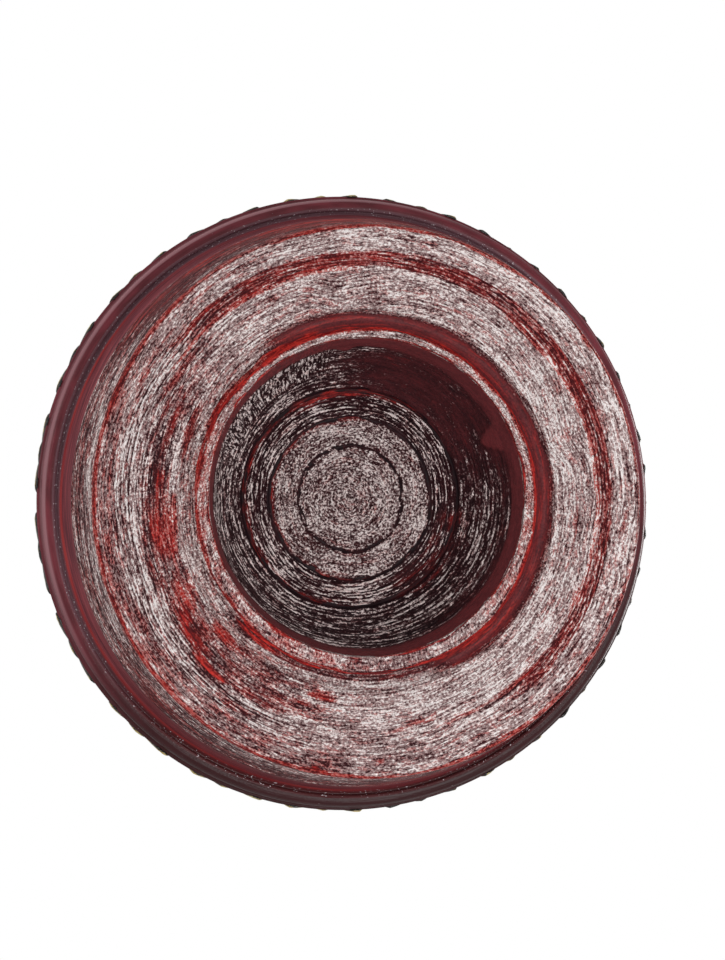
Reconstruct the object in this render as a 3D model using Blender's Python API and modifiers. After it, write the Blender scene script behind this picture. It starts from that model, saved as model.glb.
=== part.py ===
"""Turned and lacquered wooden bowl, in metres, +Z up.

The bowl is two turned blocks and a border of moulded petals. The base block is a thick drum with a
foot ring and a recess in its underside, and its spigot plugs into the mortise of the bowl body. The
border is nineteen sprigs of three hanging petals, laid on the wall just above the bead.
The origin is the centre of the foot ring, on the plane that the bowl stands on.
"""
import math

import bmesh
import bpy
from mathutils import Matrix, Vector

MM = 0.001
GAP = 0.3 * MM              # clearance between neighbouring solids
SPROUT = 0.2 * MM           # how far a cutter reaches past the face that it opens
TURN_STEPS = 64
OUT_OF_ROUND = 1.01         # the wood has shrunk one percent across its grain, along Y

# bowl body
HEIGHT = 78.0 * MM
WALL = 6.6 * MM
FOOT_R = 85.0 * MM          # foot of the wall, its widest part, just above the bead
FOOT_Z = 28.6 * MM
WALL_LEAN = 0.12            # how far the wall leans in at its foot, in radians
WALL_CURVE_R = 300.0 * MM   # radius of the wall's arc in section
LIP_ROUND = 0.5 * MM
FLOOR_Z = 34.0 * MM         # inside floor
FLOOR_FLAT_R = 48.0 * MM    # where the floor starts to sweep up into the wall
SWEEP_TOP_Z = 53.0 * MM     # where the sweep meets the wall's own arc
BEAD_R = 2.4 * MM
BEAD_EDGE_R = 84.0 * MM     # outermost point of the bead
BEAD_Z = 26.4 * MM
COVE_R = 79.4 * MM          # throat of the plinth, just under the bead
COVE_Z = 24.6 * MM

# joint between the two blocks
SEAM_R = 77.3 * MM
SEAM_Z = 15.3 * MM
SPIGOT_R = 52.0 * MM
SPIGOT_Z = 29.0 * MM

# base block
FACE_Z = 0.5 * MM           # the annular face stands this far above the foot ring
ARRIS_R = 74.4 * MM
ARRIS_ROUND = 1.2 * MM
BAND_R = (63.3 * MM, 68.1 * MM)
BAND_DEPTH = 0.5 * MM
HOLLOW_R = (46.1 * MM, 51.4 * MM)
HOLLOW_DEPTH = 2.0 * MM
RING_ROUND = 0.6 * MM

# recess, turned off centre
RECESS_OFFSET = 1.1 * MM
RECESS_MOUTH_R = 42.8 * MM
RECESS_STEP_R = 41.3 * MM
RECESS_STEP_Z = 4.1 * MM
RECESS_FLOOR_R = 29.7 * MM
RECESS_FLOOR_Z = 23.6 * MM
RECESS_SAG = 1.6 * MM       # how far the slope bows out from a straight line
FLOOR_RING_R = (14.4 * MM, 22.2 * MM)
FLOOR_RING_STEP = 0.35 * MM

# petal border
SPRIG_COUNT = 19
PETAL_HALF_WIDTH = 4.3 * MM
PETAL_LENGTH = 18.0 * MM
PETAL_TIP_Z = 28.9 * MM
PETAL_RISE = 1.4 * MM       # height of a petal above the wall, were it as thick all along
PETAL_ROOT_RISE = 0.4       # share of that height left at the root
PETAL_LEAN = math.radians(28.0)  # how far the outer petals lean from the middle one
PETAL_REACH = 1.04          # the outer petals hang this much lower
PETAL_SIDES = 10
PETAL_RINGS = 6
WALL_CUTTER_RINGS = 8


def polar(centre_r, centre_z, radius, angle):
    """A point on a circle in the section plane, as (r, z)."""
    return (centre_r + radius * math.cos(angle), centre_z + radius * math.sin(angle))


def arc(centre_r, centre_z, radius, start, end, steps):
    """Points along an arc in the section plane; angles are in degrees, 0 pointing outwards."""
    angles = [math.radians(start + (end - start) * i / steps) for i in range(steps + 1)]
    return [polar(centre_r, centre_z, radius, angle) for angle in angles]


def bowed(start, end, sag, steps):
    """Points from start to end along a shallow curve that bows to the left by sag."""
    along = Vector((end[0] - start[0], end[1] - start[1]))
    across = Vector((-along.y, along.x)).normalized()
    points = []
    for i in range(steps + 1):
        t = i / steps
        point = Vector(start) + along * t + across * (4.0 * sag * t * (1.0 - t))
        points.append((point.x, point.y))
    return points


def wall_radius(z):
    """Outer radius of the bowl's wall at height z."""
    sine = math.sin(WALL_LEAN) + (z - FOOT_Z) / WALL_CURVE_R
    return FOOT_R + WALL_CURVE_R * (math.sqrt(1.0 - sine ** 2) - math.cos(WALL_LEAN))


def spread(start, end, steps):
    """Evenly spaced numbers from start to end."""
    return [start + (end - start) * i / steps for i in range(steps + 1)]


def body_profile():
    """Section of the bowl body: inside floor, inside wall, rim, outside wall, bead, plinth, mortise."""
    rim_z = HEIGHT - WALL / 2.0
    rim_r = wall_radius(rim_z) - WALL / 2.0
    sweep_width = wall_radius(SWEEP_TOP_Z) - WALL - FLOOR_FLAT_R
    sweep_height = SWEEP_TOP_Z - FLOOR_Z
    points = [(0.0, FLOOR_Z), (FLOOR_FLAT_R * 0.6, FLOOR_Z)]
    for i in range(7):
        angle = math.pi / 2.0 * i / 6.0
        points.append((FLOOR_FLAT_R + sweep_width * math.sin(angle),
                       SWEEP_TOP_Z - sweep_height * math.cos(angle)))
    points += [(wall_radius(z) - WALL, z) for z in spread(SWEEP_TOP_Z, rim_z, 3)[1:-1]]
    points += arc(rim_r, rim_z, WALL / 2.0, 180.0, 0.0, 6)
    points += [(wall_radius(z), z) for z in spread(rim_z, FOOT_Z, 6)[1:-1]]
    points += arc(FOOT_R - LIP_ROUND, FOOT_Z, LIP_ROUND, 0.0, -90.0, 2)
    points += arc(BEAD_EDGE_R - BEAD_R, BEAD_Z, BEAD_R, 35.0, -110.0, 6)
    points += bowed((COVE_R, COVE_Z), (SEAM_R, SEAM_Z + GAP), -0.4 * MM, 3)
    points.append((SPIGOT_R + GAP, SEAM_Z + GAP))
    points.append((SPIGOT_R + GAP, SPIGOT_Z + GAP))
    points.append((0.0, SPIGOT_Z + GAP))
    return points


def base_profile():
    """Section of the base block: spigot, shoulder, flared side, face with its bands, foot ring."""
    points = [(0.0, SPIGOT_Z), (SPIGOT_R, SPIGOT_Z), (SPIGOT_R, SEAM_Z), (SEAM_R, SEAM_Z)]
    points += arc(ARRIS_R - ARRIS_ROUND, FACE_Z + ARRIS_ROUND, ARRIS_ROUND, -5.0, -90.0, 3)
    points += bowed((BAND_R[1], FACE_Z), (BAND_R[0], FACE_Z), -BAND_DEPTH, 4)
    points += bowed((HOLLOW_R[1], FACE_Z), (HOLLOW_R[0], FACE_Z), -HOLLOW_DEPTH, 6)
    points += arc(HOLLOW_R[0] - RING_ROUND, RING_ROUND, RING_ROUND, -20.0, -90.0, 2)
    points.append((0.0, 0.0))
    return points


def recess_profile():
    """Section of the recess: ringed floor, bowed slope, step and mouth."""
    inner, outer = FLOOR_RING_R
    z = RECESS_FLOOR_Z
    points = [(0.0, z + 2.0 * FLOOR_RING_STEP), (inner, z + 2.0 * FLOOR_RING_STEP)]
    points += [(inner + FLOOR_RING_STEP, z + FLOOR_RING_STEP), (outer, z + FLOOR_RING_STEP)]
    points.append((outer + FLOOR_RING_STEP, z))
    points += bowed((RECESS_FLOOR_R, z), (RECESS_STEP_R, RECESS_STEP_Z), RECESS_SAG, 6)
    points.append((RECESS_MOUTH_R, 0.0))
    points.append((RECESS_MOUTH_R + SPROUT, -SPROUT))
    points.append((0.0, -SPROUT))
    return points


def wall_cutter_profile():
    """Section of a solid just larger than the wall, which trims the backs of the petals."""
    low = FOOT_Z - 4.0 * MM
    points = [(0.0, HEIGHT)]
    points += [(wall_radius(z) + GAP, z) for z in spread(HEIGHT, low, WALL_CUTTER_RINGS)]
    points.append((0.0, low))
    return points


def material(name, colour, roughness, metallic=0.0):
    """A Principled material with the finish of one sub-part."""
    made = bpy.data.materials.new(name)
    made.use_nodes = True
    made.diffuse_color = (*colour, 1.0)
    shader = made.node_tree.nodes["Principled BSDF"]
    shader.inputs["Base Color"].default_value = (*colour, 1.0)
    shader.inputs["Roughness"].default_value = roughness
    shader.inputs["Metallic"].default_value = metallic
    return made


def new_collection(name):
    """A collection linked to the scene."""
    made = bpy.data.collections.new(name)
    bpy.context.scene.collection.children.link(made)
    return made


def new_object(name, mesh, collection):
    """An object in a collection."""
    obj = bpy.data.objects.new(name, mesh)
    collection.objects.link(obj)
    return obj


def turned(name, profile, collection):
    """A solid of revolution about Z, as a profile with a Screw modifier."""
    mesh = bpy.data.meshes.new(name)
    edges = [(i, i + 1) for i in range(len(profile) - 1)]
    mesh.from_pydata([(r, 0.0, z) for r, z in profile], edges, [])
    obj = new_object(name, mesh, collection)
    screw = obj.modifiers.new("turn", "SCREW")
    screw.axis = "Z"
    screw.angle = math.tau
    screw.steps = TURN_STEPS
    screw.render_steps = TURN_STEPS
    screw.use_merge_vertices = True
    screw.merge_threshold = 0.00001
    screw.use_smooth_shade = True
    return obj


def as_cutter(obj):
    """Mark an object as a guide that isn't part of the bowl."""
    obj.hide_render = True
    obj.display_type = "WIRE"
    return obj


def boolean(obj, cutter, operation):
    """Join or cut an object with another."""
    modifier = obj.modifiers.new(operation.lower(), "BOOLEAN")
    modifier.operation = operation
    modifier.object = cutter
    modifier.solver = "EXACT"


def wrap_on_wall(vertices):
    """Bend flat shapes round the wall: x runs round it, z is height, y is depth out of it."""
    for vertex in vertices:
        across, out, z = vertex.co
        radius = wall_radius(z)
        angle = across / radius
        vertex.co = ((radius + out) * math.cos(angle), (radius + out) * math.sin(angle), z)


def petal(name, lean, half_width, length, rise, collection):
    """A long drop, round at its tip and narrow at its root, leaning about the root."""
    shape = bmesh.new()
    bmesh.ops.create_uvsphere(shape, u_segments=PETAL_SIDES, v_segments=PETAL_RINGS, radius=1.0)
    for vertex in shape.verts:
        drop = (1.0 - vertex.co.z) / 2.0
        vertex.co.x *= half_width * (0.35 + 0.65 * math.sin(math.pi / 2.0 * drop))
        vertex.co.y *= rise * (PETAL_ROOT_RISE + (1.0 - PETAL_ROOT_RISE) * drop)
        vertex.co.z = -drop * length
    root_z = PETAL_TIP_Z + PETAL_LENGTH
    bmesh.ops.transform(shape, matrix=Matrix.Rotation(lean, 4, "Y"), verts=shape.verts)
    bmesh.ops.translate(shape, vec=(0.0, 0.0, root_z), verts=shape.verts)
    wrap_on_wall(shape.verts)
    mesh = bpy.data.meshes.new(name)
    shape.to_mesh(mesh)
    shape.free()
    return as_cutter(new_object(name, mesh, collection))


def sprig_mesh(wall_cutter, collection):
    """Three petals joined at a boss, and trimmed to lie on the wall."""
    centre = petal("petal_centre", 0.0, PETAL_HALF_WIDTH, PETAL_LENGTH, PETAL_RISE, collection)
    reach = PETAL_LENGTH / math.cos(PETAL_LEAN) * PETAL_REACH
    left = petal("petal_left", PETAL_LEAN, PETAL_HALF_WIDTH, reach, PETAL_RISE, collection)
    right = petal("petal_right", -PETAL_LEAN, PETAL_HALF_WIDTH, reach, PETAL_RISE, collection)
    boolean(centre, left, "UNION")
    boolean(centre, right, "UNION")
    boolean(centre, wall_cutter, "DIFFERENCE")
    evaluated = centre.evaluated_get(bpy.context.evaluated_depsgraph_get())
    mesh = bpy.data.meshes.new_from_object(evaluated)
    mesh.name = "relief_sprig"
    return mesh


def build():
    """The whole bowl, hung from one empty that carries the wood's shrinkage."""
    for obj in list(bpy.data.objects):
        bpy.data.objects.remove(obj, do_unlink=True)
    parts = new_collection("painted_bowl")
    cutters = new_collection("cutters")

    red_lacquer = material("red_lacquer", (0.16, 0.012, 0.018), 0.35)
    black_lacquer = material("black_lacquer", (0.02, 0.012, 0.012), 0.2)
    gilding = material("gilding", (0.62, 0.50, 0.22), 0.38, 1.0)

    shrinkage = new_object("shrinkage", None, parts)
    shrinkage.scale = (OUT_OF_ROUND, 1.0, 1.0)

    body = turned("bowl_body", body_profile(), parts)
    body.data.materials.append(black_lacquer)
    body.parent = shrinkage

    recess = as_cutter(turned("recess_cutter", recess_profile(), cutters))
    recess.location.y = -RECESS_OFFSET
    base = turned("base_block", base_profile(), parts)
    base.data.materials.append(red_lacquer)
    base.parent = shrinkage
    boolean(base, recess, "DIFFERENCE")

    wall_cutter = as_cutter(turned("wall_cutter", wall_cutter_profile(), cutters))
    sprig = sprig_mesh(wall_cutter, cutters)
    sprig.materials.clear()
    sprig.materials.append(gilding)
    for index in range(SPRIG_COUNT):
        leaf = new_object(f"relief_sprig_{index + 1:02d}", sprig, parts)
        leaf.rotation_euler.z = math.tau * index / SPRIG_COUNT
        leaf.parent = shrinkage


build()
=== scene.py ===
"""Looks for the painted bowl: worn lacquer on rough-turned wood below, a gilded petal border and
a painted garland above. Lengths are in millimetres until a mesh is made, and angles round the
underside are in degrees, anticlockwise from +X as seen from below."""

import math

import bpy
import numpy as np
from mathutils import Matrix, Vector


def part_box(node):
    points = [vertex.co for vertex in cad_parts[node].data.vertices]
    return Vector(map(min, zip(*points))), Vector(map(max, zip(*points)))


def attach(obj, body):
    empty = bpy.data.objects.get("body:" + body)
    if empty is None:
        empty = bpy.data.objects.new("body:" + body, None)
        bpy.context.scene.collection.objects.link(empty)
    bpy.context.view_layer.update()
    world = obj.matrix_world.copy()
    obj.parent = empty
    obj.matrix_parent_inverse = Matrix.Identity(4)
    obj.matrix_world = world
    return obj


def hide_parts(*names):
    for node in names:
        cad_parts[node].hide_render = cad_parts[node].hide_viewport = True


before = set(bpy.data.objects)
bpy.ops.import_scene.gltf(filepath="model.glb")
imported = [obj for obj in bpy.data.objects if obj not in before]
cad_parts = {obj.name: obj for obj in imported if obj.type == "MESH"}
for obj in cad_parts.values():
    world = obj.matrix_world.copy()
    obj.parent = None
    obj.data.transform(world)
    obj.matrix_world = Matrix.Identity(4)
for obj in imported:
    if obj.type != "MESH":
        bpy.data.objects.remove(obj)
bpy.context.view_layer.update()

MM = 0.001
SEED = 57

# ---------------------------------------------------------------- sizes read from the frame
base_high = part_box("base_block")[1] / MM
body_low, body_high = (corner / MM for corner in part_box("bowl_body"))
SPRIGS = sorted(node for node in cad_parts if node.startswith("relief_sprig"))

OUT_OF_ROUND = base_high.x / base_high.y
SEAM_R = base_high.y
SEAM_Z = body_low.z
SPIGOT_TOP_Z = base_high.z
FOOT_R = body_high.y
HEIGHT = body_high.z

# ---------------------------------------------------------------- base block
ARRIS_R = SEAM_R - 2.9
ARRIS_ROUND = 1.2
FACE_Z = 0.5
SPIGOT_R = SEAM_R - 25.3
JOINT_GAP = 0.3
DEEP_Z = SPIGOT_TOP_Z - 1.0    # the base is hidden in its mortise above this
BAND_INNER_R, BAND_OUTER_R = SEAM_R - 14.2, SEAM_R - 9.6
BAND_DEPTH = 0.45
HOLLOW_OUTER_R = SEAM_R - 25.9
RING_OUTER_R = SEAM_R - 31.2
HOLLOW_DEPTH = 1.9
RING_ROUND = 0.6
RECESS_OFFSET = 1.1    # the recess lies this far off the turning centre along -Y
ARRIS_OFFSET = 0.85    # the outer edge of the face lies this far off it along +X
RECESS_MOUTH_R = RING_OUTER_R - 3.3
RECESS_STEP_R, RECESS_STEP_Z = RECESS_MOUTH_R - 1.5, 4.1
RECESS_FLOOR_R, RECESS_FLOOR_Z = 29.7, SPIGOT_TOP_Z - 5.4
RECESS_SAG = 1.6
FLOOR_RINGS_R = (14.4, 22.2)
FLOOR_STEP = 0.35
WORN_LINE_R = 36.6

# ---------------------------------------------------------------- bowl body
WALL = 6.6
FOOT_Z = 28.6
WALL_LEAN = 0.12
WALL_CURVE_R = 300.0
LIP_ROUND = 0.5
FLOOR_Z = 34.0
FLOOR_FLAT_R = 48.0
SWEEP_TOP_Z = 53.0
BEAD_R, BEAD_Z = 2.4, 26.4
BEAD_EDGE_R = FOOT_R - 1.0
COVE_R, COVE_Z = FOOT_R - 5.6, 24.6
RIM_Z = HEIGHT - WALL / 2.0
WALL_SQUEEZE = 0.996    # scale of the wall along Y, where the base's is 1

# ---------------------------------------------------------------- petal border
PETAL_TIP_Z = 28.9
PETAL_LENGTH = 18.0
PETAL_HALF_WIDTH = 3.9
PETAL_RISE = 0.76    # the CAD petals stand about 1 mm proud
PETAL_LEAN = math.radians(28.0)


# ================================================================ numbers and noise
def smooth(value, low, high):
    """0 below low, 1 above high and an eased ramp between."""
    t = np.clip((value - low) / (high - low), 0.0, 1.0)
    return t * t * (3.0 - 2.0 * t)


def within(value, low, high, soft):
    """1 between low and high, fading to 0 over soft on both sides."""
    return smooth(value, low - soft, low) * (1.0 - smooth(value, high, high + soft))


def turned(angle, start):
    """How far angle is turned from start, from -180 to 180 degrees."""
    return (angle - start + 180.0) % 360.0 - 180.0


def facing(angle, start, end, soft):
    """1 from start anticlockwise to end, in degrees, fading over soft on both sides."""
    middle, half = (start + end) / 2.0, (end - start) / 2.0
    return 1.0 - smooth(np.abs(turned(angle, middle)), half, half + soft)


def lattice(rows, columns, count, rng):
    """Smooth noise from -1 to 1 over rows, any rising numbers, and columns, which wrap at count."""
    low = math.floor(rows.min())
    table = rng.uniform(-1.0, 1.0, (int(rows.max() - low) + 3, count))
    row, column = rows - low, columns % count
    i, j = np.floor(row).astype(int), np.floor(column).astype(int)
    u, v = smooth(row - i, 0.0, 1.0), smooth(column - j, 0.0, 1.0)
    j_next = (j + 1) % count
    first = table[i, j % count] * (1 - v) + table[i, j_next] * v
    second = table[i + 1, j % count] * (1 - v) + table[i + 1, j_next] * v
    return first * (1 - u) + second * u


# ================================================================ sections, as (radius, z)
def stretch(points, step):
    """The same line with points about step apart; its own corners are kept."""
    made = [points[0]]
    for a, b in zip(points, points[1:]):
        count = max(1, round(math.dist(a, b) / step))
        a, along = np.array(a), np.array(b) - np.array(a)
        made += [tuple(a + along * k / count) for k in range(1, count + 1)]
    return made


def arc(centre_r, centre_z, radius, start, end, steps):
    """Points along an arc; angles in degrees, 0 pointing outwards."""
    angles = np.radians(np.linspace(start, end, steps + 1))
    return [(centre_r + radius * math.cos(a), centre_z + radius * math.sin(a)) for a in angles]


def bowed(start, end, sag, steps=24):
    """A shallow curve from start to end that bows to the left by sag."""
    start, end = np.array(start), np.array(end)
    along = end - start
    across = np.array((-along[1], along[0])) / np.hypot(*along)
    places = np.linspace(0, 1, steps + 1)
    return [tuple(start + along * t + across * 4.0 * sag * t * (1.0 - t)) for t in places]


def wall_radius(z):
    """Outer radius of the wall at height z."""
    sine = math.sin(WALL_LEAN) + (np.asarray(z) - FOOT_Z) / WALL_CURVE_R
    return FOOT_R + WALL_CURVE_R * (np.sqrt(1.0 - sine ** 2) - math.cos(WALL_LEAN))


def base_section():
    """Base block from the middle of its spigot, over its side and face, to the recess's middle."""
    shoulder = (SEAM_R, SEAM_Z - JOINT_GAP)
    hidden = [(0.0, SPIGOT_TOP_Z), (SPIGOT_R, SPIGOT_TOP_Z), (SPIGOT_R, SEAM_Z - JOINT_GAP), shoulder]
    side = [shoulder]
    side += arc(ARRIS_R - ARRIS_ROUND, FACE_Z + ARRIS_ROUND, ARRIS_ROUND, -5.0, -90.0, 8)
    face = [side[-1]]
    face += bowed((BAND_OUTER_R, FACE_Z), (BAND_INNER_R, FACE_Z), -BAND_DEPTH)
    face += bowed((HOLLOW_OUTER_R, FACE_Z), (RING_OUTER_R, FACE_Z), -HOLLOW_DEPTH)
    face += arc(RING_OUTER_R - RING_ROUND, RING_ROUND, RING_ROUND, -20.0, -90.0, 4)
    face += arc(RECESS_MOUTH_R + 0.4, 0.4, 0.4, -90.0, -170.0, 4)
    recess = [face[-1], (RECESS_STEP_R, RECESS_STEP_Z)]
    slope = bowed((RECESS_STEP_R, RECESS_STEP_Z), (RECESS_FLOOR_R, RECESS_FLOOR_Z), -RECESS_SAG)
    floor = [slope[-1]]
    for depth, radius in enumerate(reversed(FLOOR_RINGS_R)):
        z = RECESS_FLOOR_Z + depth * FLOOR_STEP
        floor += [(radius + FLOOR_STEP, z), (radius, z + FLOOR_STEP)]
    floor.append((0.0, floor[-1][1]))
    points = stretch(hidden, 5.0)[:-1] + stretch(side, 0.45)[:-1] + stretch(face, 0.3)[:-1]
    points += stretch(recess, 0.4)[:-1] + stretch(slope, 0.36)[:-1] + stretch(floor, 0.36)
    return np.array(points)


def body_section():
    """Bowl body from the middle of its inside floor, over the rim, to the mortise's middle."""
    sweep_width = float(wall_radius(SWEEP_TOP_Z)) - WALL - FLOOR_FLAT_R
    sweep_height = SWEEP_TOP_Z - FLOOR_Z
    quarter = np.linspace(0.0, math.pi / 2.0, 20)
    inside = [(0.0, FLOOR_Z)]
    for a in quarter:
        inside.append((FLOOR_FLAT_R + sweep_width * math.sin(a), SWEEP_TOP_Z - sweep_height * math.cos(a)))
    inside += [(float(wall_radius(z)) - WALL, z) for z in np.linspace(SWEEP_TOP_Z, RIM_Z, 16)[1:-1]]
    rim = arc(float(wall_radius(RIM_Z)) - WALL / 2.0, RIM_Z, WALL / 2.0, 180.0, 0.0, 18)
    outside = [(float(wall_radius(z)), z) for z in np.linspace(RIM_Z, FOOT_Z, 60)[:-1]]
    outside += arc(FOOT_R - LIP_ROUND, FOOT_Z, LIP_ROUND, 0.0, -90.0, 4)
    bead = arc(BEAD_EDGE_R - BEAD_R, BEAD_Z, BEAD_R, 35.0, -115.0, 20)
    bead += [(COVE_R + 0.9, COVE_Z + 0.7), (COVE_R + 0.5, COVE_Z + 0.3)]
    plinth = bowed((COVE_R, COVE_Z - 0.3), (SEAM_R, SEAM_Z), -0.4)
    hidden = [(SEAM_R, SEAM_Z), (SPIGOT_R + JOINT_GAP, SEAM_Z)]
    hidden += [(SPIGOT_R + JOINT_GAP, SPIGOT_TOP_Z + JOINT_GAP), (0.0, SPIGOT_TOP_Z + JOINT_GAP)]
    points = stretch(inside, 2.5)[:-1] + stretch([inside[-1]] + rim, 0.8)[:-1] + stretch(outside, 1.2)
    points += stretch(bead, 0.45) + stretch(plinth, 0.45)[:-1] + stretch(hidden, 5.0)
    return np.array(points)


# ================================================================ turned meshes
class Turning:
    """Rings of points made by turning a section, with a height over the surface at each point."""

    def __init__(self, section, columns, centre_x=0.0, centre_y=0.0, squeeze=1.0):
        self.section = section
        self.radius, self.z = section[:, 0:1], section[:, 1:2]
        self.turn = np.linspace(0.0, 2.0 * math.pi, columns, endpoint=False)[None, :]
        self.seen = np.degrees(-self.turn) % 360.0
        self.along = np.concatenate([[0.0], np.cumsum(np.hypot(*np.diff(section, axis=0).T))])[:, None]
        tangent = np.gradient(section, axis=0)
        length = np.maximum(np.hypot(tangent[:, 0:1], tangent[:, 1:2]), 1e-6)
        self.normal_r, self.normal_z = -tangent[:, 1:2] / length, tangent[:, 0:1] / length
        self.centre_x, self.centre_y, self.squeeze = centre_x, centre_y, squeeze
        self.height = np.zeros((len(section), columns))
        self.layers = {}

    def noise(self, step, count, rng):
        """Noise with cells step long down the section and count of them round a turn."""
        rows = np.broadcast_to(self.along / step, self.height.shape)
        columns = np.broadcast_to(self.turn / (2.0 * math.pi) * count, self.height.shape)
        return lattice(rows, columns, count, rng)

    def mesh(self, name):
        """The closed mesh, in metres, with a point attribute for each layer."""
        r = self.radius + self.normal_r * self.height
        z = np.clip(np.broadcast_to(self.z + self.normal_z * self.height, r.shape), 0.0, HEIGHT)
        x = self.centre_x + r * np.cos(self.turn) * OUT_OF_ROUND
        y = self.centre_y + r * np.sin(self.turn) * self.squeeze
        rings, columns = x.shape[0] - 2, x.shape[1]
        grid = np.stack([x, y, z], -1)
        poles = [grid[0].mean(0), grid[-1].mean(0)]
        points = np.concatenate([grid[1:-1].reshape(-1, 3), poles]) * MM
        index = np.arange(rings * columns).reshape(rings, columns)
        beside = np.roll(index, -1, axis=1)
        quads = np.stack([index[:-1], index[1:], beside[1:], beside[:-1]], -1).reshape(-1, 4)
        first, last = rings * columns, rings * columns + 1
        caps = [(first, a, b) for a, b in zip(index[0], beside[0])]
        caps += [(last, b, a) for a, b in zip(index[-1], beside[-1])]
        mesh = bpy.data.meshes.new(name)
        mesh.from_pydata(points.tolist(), [], quads.tolist() + caps)
        mesh.shade_smooth()
        for layer, values in self.layers.items():
            store(mesh, layer, self.flat(values))
        return mesh

    def flat(self, values):
        """Values on the grid as one row per mesh point."""
        values = np.broadcast_to(values, self.height.shape + np.shape(values)[2:])
        inner = values[1:-1].reshape(-1, *values.shape[2:])
        return np.concatenate([inner, values[0, :1], values[-1, :1]])


def store(mesh, name, values):
    """A float or vector attribute on a mesh's points."""
    kind, key = ("FLOAT_VECTOR", "vector") if values.ndim == 2 else ("FLOAT", "value")
    layer = mesh.attributes.new(name, kind, "POINT")
    layer.data.foreach_set(key, np.ascontiguousarray(values, dtype=np.float32).ravel())


def piece(name, mesh, slot, *nodes):
    """An object that rides on the bowl and stands for CAD nodes."""
    made = bpy.data.objects.new(name, mesh)
    bpy.context.scene.collection.objects.link(made)
    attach(made, "root")
    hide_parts(*nodes)
    return made


# ================================================================ base block
BASE_COLUMNS = 300
RIDGE_HEIGHT = 0.15    # a ridge this high counts as 1 in the looks

# patches on the face where the top coat is torn off: seen angle, radius, half angle, half radius,
# how much redder, how much less rubbed and how much darker
PATCHES = (
    (188.5, 55.4, 8, 3.8, 0.95, 0.46, 0),
    (178, 55, 6, 3, 0.45, 0.22, 0.25),
    (183, 52.4, 5, 1.6, 0.8, 0.35, 0),
    (206, 55, 6.5, 3.4, 0.62, 0.30, 0.1),
    (199.5, 60.5, 4.5, 1.6, 0.40, 0.22, 0),
    (257, 53.6, 4.4, 1.8, 1, 0.55, 0),
    (252, 56.6, 3, 1, 0.70, 0.28, 0),
    (212, 57.6, 2.6, 1.4, 0.8, 0.35, 0),
    (222, 52.5, 5, 1.5, 0.6, 0.28, 0),
    (226, 61.6, 6.5, 1.3, 0.85, 0.38, 0.1),
    (236, 65.2, 7, 1, 0.7, 0.30, 0.1),
    (258, 73.2, 0.7, 0.6, 1.3, 0.7, 0),
    (272, 69.5, 1, 0.6, 0.7, 0.3, 0),
    (231, 47.6, 9, 0.9, 0.75, 0.25, 0),
    (166, 56, 10, 4, 0.10, 0.34, 0.75),
    (176, 59, 8, 2.2, 0.12, 0.26, 0.6),
    (158, 51, 9, 1.6, 0.35, 0.30, 0.35),
    (217, 58.5, 8, 2.6, 0.15, 0.18, 0.5),
    (135, 66.5, 9, 0.8, 0.40, 0.24, 0),
    (126, 71, 12, 0.7, 0.35, 0.20, 0),
    (146, 61, 9, 0.7, 0.45, 0.22, 0),
    (120, 58.5, 9, 0.8, 0.35, 0.12, 0),
    (352, 57, 9, 0.7, 0.7, 0.42, 0.1),
    (8, 60.3, 7, 0.5, 0.5, 0.30, 0),
    (352, 70.6, 9, 1, 0.45, 0.20, 0),
    (300, 63.4, 14, 0.9, 0.45, 0.20, 0),
    (283, 61.8, 9, 0.7, 0.45, 0.20, 0),
)

# passes of the gouge that leave flat arcs: seen angle of the flattest place, its radius, how far
# the arc's centre lies behind the turning centre, half angle, inner and outer radius
FLAT_PASSES = (
    (58, 54, 14, 38, 52, 62.5),
    (322, 66, 10, 26, 59, 73),
    (170, 61, 8, 28, 60, 70),
    (128, 69, 9, 20, 67, 74),
)

SLOPE_STROKES = 0.58    # strokes on the recess's slope, as a share of their number elsewhere

# cuts on the face that run a little off the turning centre: their own centre, radius and seen angles
STRAY_CUTS = (
    (4.5, -3, 60, 20, 115),
    (5.5, -4, 62.5, 25, 110),
    (6.5, -4.5, 57.5, 30, 100),
    (-3, 5, 66, 285, 345),
    (-4, 6, 63, 290, 340),
    (-5, 2, 60.5, 150, 215),
    (-3.5, 3, 67.5, 170, 260),
)


def cut_path(turning, rng):
    """A number that stays the same along each stroke of the gouge, in millimetres across them."""
    r, seen = turning.radius, turning.seen
    path = turning.along + 0.55 * turning.noise(9.0, 7, rng) + 0.16 * turning.noise(3.0, 16, rng)
    for angle, _, behind, half, low, high in FLAT_PASSES:
        away = np.radians(turned(seen, angle))
        place = within(r, low, high, 1.6) * facing(seen, angle - half, angle + half, 12.0)
        path = path - place * (turning.z < 3.0) * behind * (1.0 - np.cos(away))
    slope = (r > RECESS_FLOOR_R) & (r < RECESS_STEP_R)
    slope = slope & (turning.z > RECESS_STEP_Z) & (turning.z < DEEP_Z)
    return np.where(slope, path * SLOPE_STROKES, path)


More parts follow.
